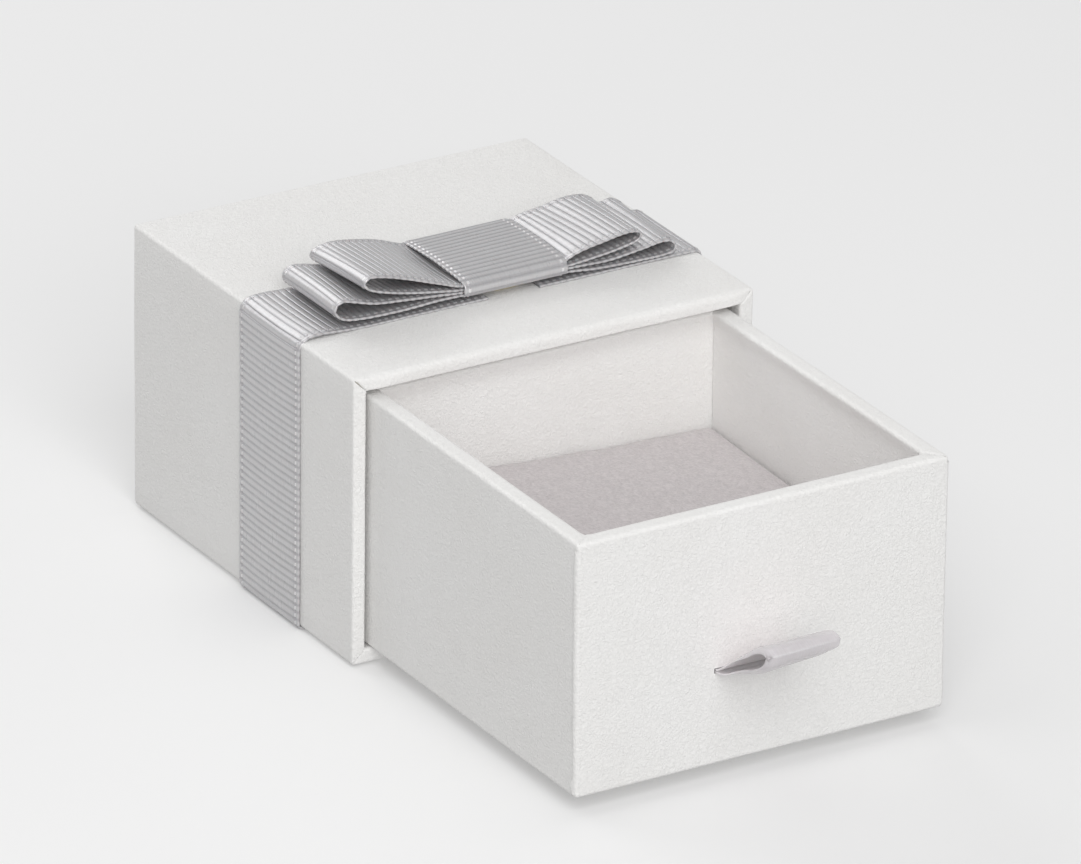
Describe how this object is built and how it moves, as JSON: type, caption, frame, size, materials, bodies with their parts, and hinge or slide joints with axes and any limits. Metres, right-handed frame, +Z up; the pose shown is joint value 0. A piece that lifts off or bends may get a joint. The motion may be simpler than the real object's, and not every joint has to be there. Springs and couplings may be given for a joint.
{
  "type": "slide-open jewellery gift box",
  "caption": "Small ring gift box: a grained-paper sleeve with a ribbon band and flat bow, and a drawer with a velvet pad and a satin pull loop that slides out of its front.",
  "frame": {"origin": "the middle of the ribbon band's underside, on the box's middle plane, where the box rests; z = 0 is the surface it stands on", "axes": "+Z up, +Y into the box from its open front, so the drawer opens towards -Y; +X to the right as seen from the front"},
  "size_m": [0.0588, 0.1181, 0.0463],
  "materials": {
    "greyboard": "matte",
    "grained_paper": "matte",
    "lining_paper": "matte",
    "grosgrain": "satin",
    "satin": "satin",
    "hot_melt": "satin",
    "foam": "matte",
    "velvet": "matte"
  },
  "bodies": {
    "sleeve": {"sleeve_top_board": "greyboard", "sleeve_bottom_board": "greyboard", "sleeve_left_board": "greyboard", "sleeve_right_board": "greyboard", "sleeve_back_board": "greyboard", "sleeve_wrap_paper": "grained_paper", "sleeve_lining_paper": "lining_paper", "ribbon_band": "grosgrain", "bow_glue_pad": "hot_melt", "bow_knot_band": "grosgrain", "bow_lower_loops": "grosgrain", "bow_upper_loops": "grosgrain"},
    "drawer": {"drawer_bottom_board": "greyboard", "drawer_front_board": "greyboard", "drawer_back_board": "greyboard", "drawer_left_board": "greyboard", "drawer_right_board": "greyboard", "drawer_wrap_paper": "grained_paper", "drawer_floor_paper": "lining_paper", "pad_foam": "foam", "pad_velvet_cover": "velvet", "pull_ribbon_tails": "satin", "pull_ribbon_patch": "lining_paper"},
    "pull_loop": {"pull_ribbon_loop": "satin"}
  },
  "joints": [
    {"name": "drawer_slide", "type": "slide", "parent": "sleeve", "child": "drawer", "axis": [0, -1, 0], "range_m": [-0.0497, 0.004]},
    {"name": "pull_loop_swing", "type": "hinge", "parent": "drawer", "child": "pull_loop", "pos_m": [-0.00165, -0.0702, 0.0151], "axis": [-1, 0, 0], "range_deg": [-40, 30], "stiffness_Nm_per_rad": 0.0001}
  ]
}
